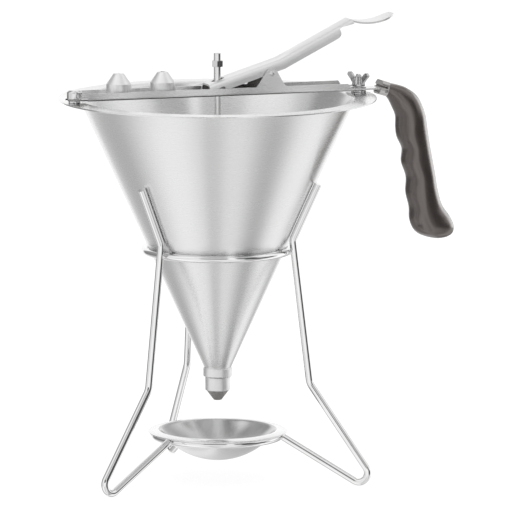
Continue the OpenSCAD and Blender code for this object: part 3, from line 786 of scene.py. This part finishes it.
def build_keeper_stud():
    foot_r, neck_r, head_r, head_z0, head_z1 = 4, 2.5, 5.1, 2.9, 8.9
    keeper = turned("keeper_stud_head", softened([
        (0, 0.02, 0), (foot_r, 0.02), (foot_r, SPACER_H), (neck_r, SPACER_H), (neck_r, head_z0),
        (head_r, head_z0, 0.45), (head_r, head_z1 - 1.4, 1.2), (head_r - 1.3, head_z1 - 0.1, 1.2),
        (0, head_z1 + 0.1, 0),
    ], 0.2, 5), FITTING_STEEL, 72, (-FIXING_R, 0, RIM_Z))
    dress(keeper, "funnel", "polished_steel", "keeper_stud")


def build_clamp():
    """Stud with its thread, spacer and washer; the wing nut has its own body."""
    root_r, top, hole_r = 1.68, 12.4, 2
    stud = turned("clamp_stud_core", softened([
        (0, 0.02, 0), (root_r, 0.02), (root_r, top - 0.5), (root_r - 0.3, top), (0, top, 0),
    ], 0.15), FITTING_STEEL, 40, (FIXING_R, 0, RIM_Z))
    dress(stud, "funnel", "polished_steel", "clamp_stud")
    thread = screw_thread("clamp_stud_thread", root_r, length=7.4, pitch=0.7, depth=0.3,
                          at=(FIXING_R, 0, RIM_Z + 4.3), material=FITTING_STEEL)
    dress(thread, "funnel", "polished_steel")
    for name, node, slot, outer_r, height, soft, z in (
        ("stud_spacer_ring", "stud_spacer", "plain_steel", 5.2, SPACER_H, 0.25, RIM_Z),
        ("clamp_washer_ring", "clamp_washer", "polished_steel", 5.25, WASHER_H, 0.15, BRIDGE_FLOOR_Z),
    ):
        outline = softened([(hole_r, 0), (outer_r, 0), (outer_r, height), (hole_r, height)], soft)
        ring = turned(name, outline, FITTING_STEEL, 56, (FIXING_R, 0, z))
        dress(ring, "funnel", slot, node)


# ---- parts kept close to the CAD shape


def from_cad(node, name, edge):
    """A copy of a CAD node: flats dissolved, a small bevel on its edges, flats shaded flat."""
    work = bmesh.new()
    work.from_mesh(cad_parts[node].data)
    bmesh.ops.remove_doubles(work, verts=work.verts, dist=2e-6)
    bmesh.ops.dissolve_limit(work, angle_limit=math.radians(0.6), verts=work.verts, edges=work.edges)
    bmesh.ops.bevel(
        work, geom=[e for e in work.edges if folds_past(e, 32)], offset=edge * MM,
        offset_type="OFFSET", segments=2, profile=0.5, affect="EDGES", clamp_overlap=True,
    )
    bmesh.ops.triangulate(work, faces=[f for f in work.faces if len(f.verts) > 4])
    piece = settle(built(work, name), sharp=20, merge=1e-7)
    even = piece.modifiers.new("even", "WEIGHTED_NORMAL")
    even.keep_sharp = True
    even.weight = 100
    return baked(piece, name)


def mark_painted_shade(piece, test):
    """Marks the faces that the test picks as inside a channel, to get painted shade."""
    marks = piece.data.attributes.new("inside", "FLOAT", "FACE")
    for face in piece.data.polygons:
        marks.data[face.index].value = float(test(face.center / MM, face.normal))


def build_bridge():
    bridge = from_cad("bridge_channel", "bridge_channel_sheet", edge=0.14)
    # Faces inside the channel get painted shade.
    mark_painted_shade(bridge, lambda spot, facing: spot.y * facing.y < 0 and abs(facing.y) > 0.7
                and spot.z > RIM_Z + 3.3)
    dress(bridge, "funnel", "brushed_sheet", "bridge_channel", material=BRIDGE_STEEL)
    for node in ("rod_guide", "park_peg_outer", "park_peg_inner"):
        repaint(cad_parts[node], PIN_STEEL)


def build_ferrule():
    """The split ferrule, and a dark block of the grip's plastic in its slot, standing in for the slot's
    shade.
    """
    ferrule = from_cad("grip_ferrule", "grip_ferrule_sleeve", edge=0.18)
    dress(ferrule, "funnel", "plain_steel", "grip_ferrule", material=FERRULE_STEEL)
    # A dark block in the ferrule's slot: a dark piece standing in for the shade there.
    work = bmesh.new()
    spot = FERRULE_ORIGIN + FERRULE_TURN @ Vector((2.2, 0, 0.9))
    size = Matrix.Diagonal((*(Vector((4.6, 9.4, 1.5)) * MM), 1))
    bmesh.ops.create_cube(work, size=1.0, matrix=Matrix.Translation(spot * MM) @ FERRULE_TURN @ size)
    dress(built(work, "ferrule_slot_shade_block"), "funnel", "grip_plastic", material=GRIP_PLASTIC)


def build_lever():
    lever = from_cad("lever", "lever_channel_sheet", edge=0.16)
    half_w, tab_x = 8.3, 85

    # Faces inside the lever's channel and under it get painted shade.
    def inside(spot, facing):
        inward = spot.y * facing.y < 0 and abs(facing.y) > 0.6
        under = facing.z < -0.4 and abs(spot.y) < half_w
        return (inward or under) and spot.x < tab_x

    mark_painted_shade(lever, inside)
    dress(lever, "lever", "brushed_sheet", "lever", material=LEVER_STEEL)


# ---- pins, rod, nuts and nozzles


def pin(name, outline, material, steps, at):
    """A pin that lies along Y, turned from its outline and moved to its place."""
    return put(turned(name, outline, material, steps), at, Matrix.Rotation(math.pi / 2, 4, "X"))


def plain_pin(name, radius, half, soft, at, hollow=0.0):
    """A pin with soft rims, its ends dished by hollow."""
    return pin(name, softened([
        (0, -half + hollow, 0), (radius, -half, soft), (radius, half, soft), (0, half - hollow, 0),
    ], 0.2), PIN_STEEL, 32, at)


def build_pins():
    radius, half, head_r, crown_r, crown = 1.5, 11.0, 1.8, 1.2, 0.5
    pivot = pin("pivot_pin_rivet", softened([
        (0, -half - crown - 0.05, 0), (crown_r, -half - crown, 0.3), (head_r, -half - 0.05),
        (radius, -half), (radius, half), (head_r, half + 0.05), (crown_r, half + crown, 0.3),
        (0, half + crown + 0.05, 0),
    ], 0.1), FITTING_STEEL, 40, PIVOT)
    dress(pivot, "funnel", "plain_steel", "pivot_pin")
    lift = plain_pin("lift_cross_pin", 1.2, 9.5, 0.25, (0, 0, RIM_Z + 6.5))
    dress(lift, "valve", "plain_steel", "lift_pin")
    spot = FERRULE_ORIGIN + FERRULE_TURN @ Vector((4.1, 0, -1.6))
    rivet = plain_pin("ferrule_rivet", 1.2, 7.2, 0.2, spot, hollow=0.05)
    dress(rivet, "funnel", "plain_steel", "grip_rivet")


def build_spring():
    """Torsion spring with a floor leg along the bridge and an upper leg up to the lever, as one piece
    with no body.
    """
    turns, steps, pitch, radius, start, wire_r = 5.25, 36, 1.3, 2.6, -150, 0.55
    half = pitch * turns / 2
    flat = [(13, -12.2, -half - 0.8), (5, -12.1, -half - 0.7), (3.9, -11.6, -half - 0.6)]
    for i in range(int(turns * steps) + 1):
        a = math.radians(start - 360 * i / steps)
        flat.append((radius * math.cos(a), radius * math.sin(a), pitch * i / steps - half))
    bend, end = (5, 4.8, half + 0.4), (14, 8.6, half + 0.5)
    for a, b in ((flat[-1], bend), (bend, end)):
        flat += [between(a, b, t) for t in (0.3, 0.65, 1)]
    points = [PIVOT + Vector((x, -z, y)) for x, y, z in flat]
    spring = wire("return_spring_coil", points, wire_r, SPRING_STEEL, sides=12)
    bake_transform(spring)
    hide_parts("return_spring")


def build_valve():
    top, foot = RIM_Z + 30.4, 67.0
    rod = turned("valve_rod_bar", softened([
        (0, foot, 0), (ROD_R, foot), (ROD_R, top, 0.55), (0, top, 0),
    ], 0.2, 4), FITTING_STEEL, 56)
    dress(rod, "valve", "polished_steel", "valve_rod")
    repaint(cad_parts["valve_plug"], PIN_STEEL)


def build_adjusting_nut():
    """Hexagon nut with both faces chamfered to a round, and a countersunk bore."""
    flats_r, height, bore = 3.65, 4.3, ROD_R + 0.05
    face_r, sink, sink_depth = flats_r - 0.05, 0.4, 0.35
    corner_cut, chamfer_depth = 0.65, 0.45

    def even(radius):
        return lambda angle: radius

    def chamfered(share):
        """The hexagon, cut back to a round that widens as the share grows."""
        limit = flats_r + corner_cut * (0.15 + share)
        return lambda angle: min(flats_r / math.cos(angle % (math.pi / 3) - math.pi / 6), limit)

    lower = [(even(bore), sink_depth), (even(bore + sink), 0.0), (even(face_r), 0.0)]
    lower += [(chamfered(k / 5), chamfer_depth * k / 5) for k in range(6)]
    rows = lower + [(radius_at, height - z) for radius_at, z in reversed(lower)]
    work = bmesh.new()
    skin(work, [ring_round_z(work, radius_at, z, 96) for radius_at, z in rows], closed=True)
    nut = settle(built(work, "adjusting_nut_hex"), sharp=24, merge=1e-7)
    put(nut, (0, 0, RIM_Z + 21.0), Matrix.Rotation(math.radians(12), 4, "Z"))
    dress(nut, "adjusting_nut", "polished_steel", "adjusting_nut", material=FITTING_STEEL)


def nozzle_outline(hole_r, tip_r, run, drop, tip_soft):
    """Nozzle with its open end up at zero: round part, shoulder of that run and drop, cone, tip."""
    bore = THREAD_R + 0.05
    foot = -NOZZLE_ROUND_H - NOZZLE_CONE_H
    return softened([
        (bore, 0), (NOZZLE_R, 0, 0.4), (NOZZLE_R, -NOZZLE_ROUND_H, 0.5),
        (NOZZLE_R - run, -NOZZLE_ROUND_H - drop, 0.3), (tip_r, foot, tip_soft),
        (hole_r, foot, 0.15), (hole_r, foot + 1.1), (6, -NOZZLE_BORE_H), (bore, -NOZZLE_BORE_H),
    ], 0.2, 4)


def build_nozzle(node, body, outline, rough, spot, shade_below=None):
    finish = spun_steel(node + "_turned_steel", grey(0.97), rough, 0.2, (spot[0], 0, 0), 3000.0,
                        shade_below)
    dress(turned(node + "_turned", outline, finish, at=spot), body, "turned_steel", node)


def build_nozzles():
    """The fitted nozzle, with painted shade below its shoulder, and the two spare ones parked
    upside-down.
    """
    seat_z = COLLAR_Z0 - FACE_GAP
    fitted = nozzle_outline(1.8, tip_r=2.65, run=1.1, drop=0.8, tip_soft=0.5)
    build_nozzle("nozzle", "nozzle", fitted, 0.5, (0, 0, seat_z), seat_z - NOZZLE_ROUND_H - 0.5)
    for side, x, hole_r in (("outer", PARK_X[0], 1.2), ("inner", PARK_X[1], 2.0)):
        spare = nozzle_outline(hole_r, tip_r=3.45, run=0.35, drop=0.35, tip_soft=1.1)
        build_nozzle("spare_nozzle_" + side, "spare_" + side, [(r, -z) for r, z in spare], 0.42,
                     (x, 0, BRIDGE_FLOOR_Z + FACE_GAP))


def build_wing_nut():
    """Coned hub and two upswept wings, fused and smoothed as one casting."""
    work = bmesh.new()
    wing = [(0, 0.6), (3.9, 0.6), (7.2, 4.7), (9.7, 7.1)]
    wing += arc((7.85, 7.6), 2.0, -15, 155, 12) + [(6.2, 8.9), (2.6, 4.9), (0, 4.9)]
    for side in (0, math.pi):
        spin = Matrix.Rotation(side, 3, "Z")
        near, far = (
            [work.verts.new(spin @ Vector((x, y, z)) * MM) for x, z in wing] for y in (-1.0, 1.0)
        )
        work.faces.new(near)
        work.faces.new(far[::-1])
        skin(work, [far, near])
    hub = [(2.1, 0.1), (4.6, 0), (4.5, 1.6), (3.4, 7.0), (2.1, 7.0)]
    skin(work, [ring_round_z(work, lambda angle: r, z, 48) for r, z in hub], closed=True)
    bmesh.ops.recalc_face_normals(work, faces=work.faces)
    rough = built(work, "wing_nut_rough")
    fuse = rough.modifiers.new("fuse", "REMESH")
    fuse.mode = "VOXEL"
    fuse.voxel_size = 0.16 * MM
    soften = rough.modifiers.new("soften", "SMOOTH")
    soften.iterations = 9
    soften.factor = 0.5
    nut = settle(baked(rough, "wing_nut_casting"), sharp=60)
    place = (FIXING_R, 0, BRIDGE_FLOOR_Z + WASHER_H + FACE_GAP)
    put(nut, place, Matrix.Rotation(math.radians(-64), 4, "Z"))
    dress(nut, "wing_nut", "polished_steel", "wing_nut", material=CAST_STEEL)


# ---- grip

# Stations down the grip: inner edge x and height, outer edge x and height, share of the
# width, and how far back the finger hollow's edge runs, as a share of the depth.
GRIP_STATIONS = [
    (119.45, -2.52, 121.86, 5.38, 0.576, 0.46),
    (122.6, -6, 127.5, 4.4, 0.66, 0.41),
    (125.6, -11.8, 135.2, 1.7, 0.8, 0.36),
    (128.1, -18.2, 142.8, -4.3, 0.92, 0.38),
    (128.1, -26, 147.9, -15.5, 1, 0.39),
    (129.3, -32.6, 150, -27, 1, 0.33),
    (133, -40.6, 151.6, -37.5, 1, 0.31),
    (132.4, -49.6, 153.6, -47.5, 1, 0.34),
    (135.9, -60, 155.6, -58.5, 1, 0.36),
    (135.6, -70.6, 157.6, -69.5, 1, 0.38),
    (138.2, -81, 161, -80, 1, 0.29),
    (138.4, -89, 166.6, -88, 1, 0.29),
    (140.4, -95.2, 169.6, -94.6, 0.98, 0.33),
    (144.4, -99.4, 169, -99.4, 0.86, 0.32),
    (150.4, -102, 165.2, -102.2, 0.58, 0.4),
    (156, -103.3, 160.2, -103.4, 0.2, 0.5),
]


def smooth_between(a, b, c, d, t):
    """The row at share t from b to c on a smooth curve that also heeds the rows a and d."""
    return tuple(
        0.5 * (2 * q + (r - p) * t + (2 * p - 5 * q + 4 * r - s) * t * t
               + (3 * q - p - 3 * r + s) * t ** 3)
        for p, q, r, s in zip(a, b, c, d)
    )


def grip_rows(steps):
    last = len(GRIP_STATIONS) - 1
    rows = []
    for i in range(last):
        a, b = GRIP_STATIONS[max(i - 1, 0)], GRIP_STATIONS[i]
        c, d = GRIP_STATIONS[i + 1], GRIP_STATIONS[min(i + 2, last)]
        rows += [smooth_between(a, b, c, d, k / steps) for k in range(steps)]
    return rows + [GRIP_STATIONS[last]]


def half_section(ridge, front_steps, back_steps):
    """(depth, half width) from the finger edge to the back, with a crease at the ridge."""
    wedge = math.radians(66)
    back_power = 0.78
    out = []
    for k in range(front_steps + 1):
        t = 1 - (1 - k / front_steps) ** 1.5
        out.append((ridge * t, math.sin(t ** 0.62 * wedge) / math.sin(wedge)))
    for k in range(1, back_steps + 1):
        angle = k / back_steps * math.pi / 2
        depth = ridge + (1 - ridge) * math.sin(angle) ** back_power
        out.append((depth, max(math.cos(angle), 0.0) ** back_power))
    return out


def build_grip():
    """Finger grip lofted through its stations: rounded back, creased hollows for three fingers."""
    work = bmesh.new()
    rings = []
    for inner_x, inner_z, outer_x, outer_z, width, ridge in grip_rows(steps=8):
        inner = Vector((inner_x, 0, RIM_Z + inner_z))
        outer = Vector((outer_x, 0, RIM_Z + outer_z))
        half = width * GRIP_W / 2
        section = half_section(ridge, front_steps=14, back_steps=22)
        loop = section + [(depth, -side) for depth, side in section[-2:0:-1]]
        rings.append([
            work.verts.new((inner + (outer - inner) * depth + Vector((0, side * half, 0))) * MM)
            for depth, side in loop
        ])
    skin(work, rings)
    work.faces.new(rings[0][::-1])
    end = rings[-1]
    tip = sum((vert.co for vert in end), Vector()) / len(end)
    peak = work.verts.new(tip + Vector((0.1, 0, -0.25)) * MM)
    for here, following in zip(end, end[1:] + end[:1]):
        work.faces.new((here, following, peak))
    grip = settle(built(work, "finger_grip"), sharp=50)
    dress(grip, "funnel", "grip_plastic", "grip", material=GRIP_PLASTIC)


# ---- camera, floor and light

LOOK = Vector((0.309, 0.951, 0.0))
CAMERA_PITCH = math.radians(8.5)
CAMERA_REACH = 4.2
CAMERA_TARGET = Vector((0.02488, -0.0081, 0.15327))

# How bright the studio's tent is, one list of stops for each band of height. A stop is degrees
# round the object, 0 behind the camera and positive to its right, and the brightness there.
TENT_BELOW = [
    (-180, 0.68), (-165, 0.92), (-148, 0.8), (-136, 0.5), (-104, 0.52), (-94, 0.74), (-82, 0.94),
    (-66, 1.04), (-43, 0.97), (-24, 0.82), (-12, 0.62), (-2, 0.66), (19, 0.84), (34, 0.86),
    (50, 0.68), (62, 0.47), (70, 0.41), (80, 0.52), (90, 0.88), (100, 1.03), (112, 1.08),
    (122, 1.0), (136, 0.68), (148, 0.36), (165, 0.55), (180, 0.66),
]
TENT_LEVEL = [
    (-180, 1.0), (-152, 1.0), (-142, 0.24), (-100, 0.24), (-92, 0.8), (-86, 0.85),
    (-64, 0.75), (-42, 0.85), (-16, 1.0), (10, 0.95), (26, 0.84), (39, 0.62), (45, 0.08),
    (90, 0.08), (98, 0.6), (106, 1.1), (150, 1.1), (180, 1.0),
]
TENT_OVER = [
    (-180, 1.05), (-150, 0.98), (-138, 0.3), (-104, 0.3), (-94, 0.65), (-70, 0.95),
    (-32, 0.8), (-20, 0.12), (13, 0.1), (19, 1.0), (27, 1.0), (33, 0.1), (58, 0.12),
    (72, 0.8), (90, 0.95), (106, 0.95), (122, 0.8), (134, 0.55), (146, 0.6), (165, 1.0),
    (180, 1.05),
]
TENT_HIGH = [
    (-180, 1.05), (-160, 0.95), (-149, 0.72), (-134, 0.46), (-122, 0.4), (-107, 0.46),
    (-93, 0.6), (-75, 0.9), (-58, 0.98), (-41, 0.9), (-24, 0.7), (-7, 0.5), (10, 0.48),
    (18, 0.55), (23, 0.95), (27, 0.95), (32, 0.5), (61, 0.48), (70, 0.68), (80, 0.85),
    (95, 0.98), (108, 0.96), (122, 0.74), (136, 0.5), (150, 0.58), (168, 1.0), (180, 1.05),
]
TENT_TOP = [
    (-180, 1.0), (-145, 0.8), (-130, 0.3), (-105, 0.3), (-92, 0.95), (-62, 1.1), (-30, 1.0),
    (-8, 0.95), (14, 0.95), (24, 1.1), (36, 0.95), (48, 0.5), (66, 0.5), (82, 0.95),
    (120, 0.9), (135, 0.7), (150, 0.85), (180, 1.0),
]
# Between which degrees of height each band takes over from the one below it.
TENT_RISES = [(TENT_LEVEL, -24, -12), (TENT_OVER, 5, 12), (TENT_HIGH, 27, 35), (TENT_TOP, 46, 56)]


def place_camera():
    camera = add_object("camera", bpy.data.cameras.new("camera"))
    along = LOOK.normalized() * math.cos(CAMERA_PITCH) - Vector((0, 0, math.sin(CAMERA_PITCH)))
    camera.location = CAMERA_TARGET - along * CAMERA_REACH
    camera.rotation_mode = "QUATERNION"
    camera.rotation_quaternion = along.to_track_quat("-Z", "Y")
    camera.data.lens = 434
    bpy.context.scene.camera = camera


def lay_floor():
    side = 9.0
    mesh = bpy.data.meshes.new("studio_floor")
    corners = [(-side, -side, 0), (side, -side, 0), (side, side, 0), (-side, side, 0)]
    mesh.from_pydata(corners, [], [(0, 1, 2, 3)])
    floor = add_object("studio_floor", mesh)
    f = Finish("studio_floor_white")
    cloud = f.noise(f.place(), 3.0)
    repaint(floor, f.set(Base_Color=f.tint(cloud, grey(0.20), 0.95, 1.05), Roughness=0.9,
                         Emission_Color=(1, 1, 1, 1), Emission_Strength=0.84))
    floor.visible_glossy = False


class Tent(Nodes):
    """The studio's world: a bright tent with darker gaps that give the steel its streaks."""

    def __init__(self, world):
        super().__init__(world.node_tree)
        self.tree.nodes.clear()
        direction = self.node("ShaderNodeTexCoord").outputs["Generated"]
        from_camera = self.node("ShaderNodeVectorRotate", {
            "Vector": direction, "Angle": -math.atan2(-LOOK.y, -LOOK.x),
        }, rotation_type="Z_AXIS")
        x, y, z = self.split(from_camera)
        self.around = self.plus(self.maths("DIVIDE", self.maths("ARCTAN2", y, x), 2 * math.pi), 0.5)
        self.up = self.plus(self.times(z, 0.5), 0.5)

    def band(self, stops):
        """Brightness round the object from its stops."""
        made = self.node("ShaderNodeValToRGB", {"Fac": self.around})
        made.color_ramp.interpolation = "EASE"
        elements = made.color_ramp.elements
        while len(elements) < len(stops):
            elements.new(0.5)
        for element, (angle, _) in zip(elements, stops):
            element.position = 0.5 + angle / 360
        for element, (_, level) in zip(elements, stops):
            element.color = (*grey(level), 1)
        return made

    def blended(self, a, b, start, end):
        """Goes from a to b as the direction rises from start to end degrees."""
        low, high = (0.5 + 0.5 * math.sin(math.radians(angle)) for angle in (start, end))
        share = self.node("ShaderNodeMapRange", {
            "Value": self.up, "From Min": low, "From Max": high,
        }, interpolation_type="SMOOTHSTEP")
        return self.node("ShaderNodeMix", {0: share, 2: a, 3: b}, data_type="FLOAT")

    def light(self, strength):
        return self.node("ShaderNodeBackground", {"Color": (1, 1, 1, 1), "Strength": strength})

    def either(self, share, a, b):
        return self.node("ShaderNodeMixShader", {0: share, 1: a, 2: b})


def pitch_tent():
    """Reflections and gloss see the bands, matt surfaces an even light, and the camera plain white."""
    world = bpy.data.worlds.new("studio")
    bpy.context.scene.world = world
    world.use_nodes = True
    w = Tent(world)
    brightness = w.band(TENT_BELOW)
    for stops, start, end in TENT_RISES:
        brightness = w.blended(brightness, w.band(stops), start, end)
    matt_light, backdrop = w.light(0.95), w.light(1.05)
    rays = w.node("ShaderNodeLightPath").outputs
    lit = w.either(rays["Is Diffuse Ray"], w.light(brightness), matt_light)
    seen = w.either(rays["Is Camera Ray"], lit, backdrop)
    w.node("ShaderNodeOutputWorld", {"Surface": seen})


def softbox(name, width, height, energy, place):
    lamp = bpy.data.lights.new(name, "AREA")
    lamp.shape = "RECTANGLE"
    lamp.size, lamp.size_y = width, height
    lamp.energy = energy
    box = add_object(name, lamp)
    box.location = place
    return box


def studio_light():
    """A softbox overhead, and one behind on the right that gives the grip's back its pale edge."""
    top = softbox("top_softbox", 3.0, 3.0, 22, (0, 0, 2.6))
    top.visible_glossy = False
    towards = Vector((0.90, 0.32, 0.24)).normalized()
    side = softbox("side_softbox", 0.9, 1.0, 5.5, Vector((0.15, 0, 0.2)) + towards * 1.2)
    side.data.color = (0.92, 1.0, 1.02)
    side.rotation_euler = towards.to_track_quat("Z", "Y").to_euler()
    only_grip = bpy.data.collections.new("lit_by_side_softbox")
    only_grip.objects.link(bpy.data.objects["finger_grip"])
    side.light_linking.receiver_collection = only_grip
    bpy.context.scene.view_settings.view_transform = "Standard"
    bpy.context.scene.view_settings.look = "None"


# ---- build

build_stand()
build_dish()
build_cone()
build_collar()
build_keeper_stud()
build_clamp()
build_bridge()
build_ferrule()
build_lever()
build_pins()
build_spring()
build_valve()
build_adjusting_nut()
build_nozzles()
build_wing_nut()
build_grip()
place_camera()
lay_floor()
pitch_tent()
studio_light()
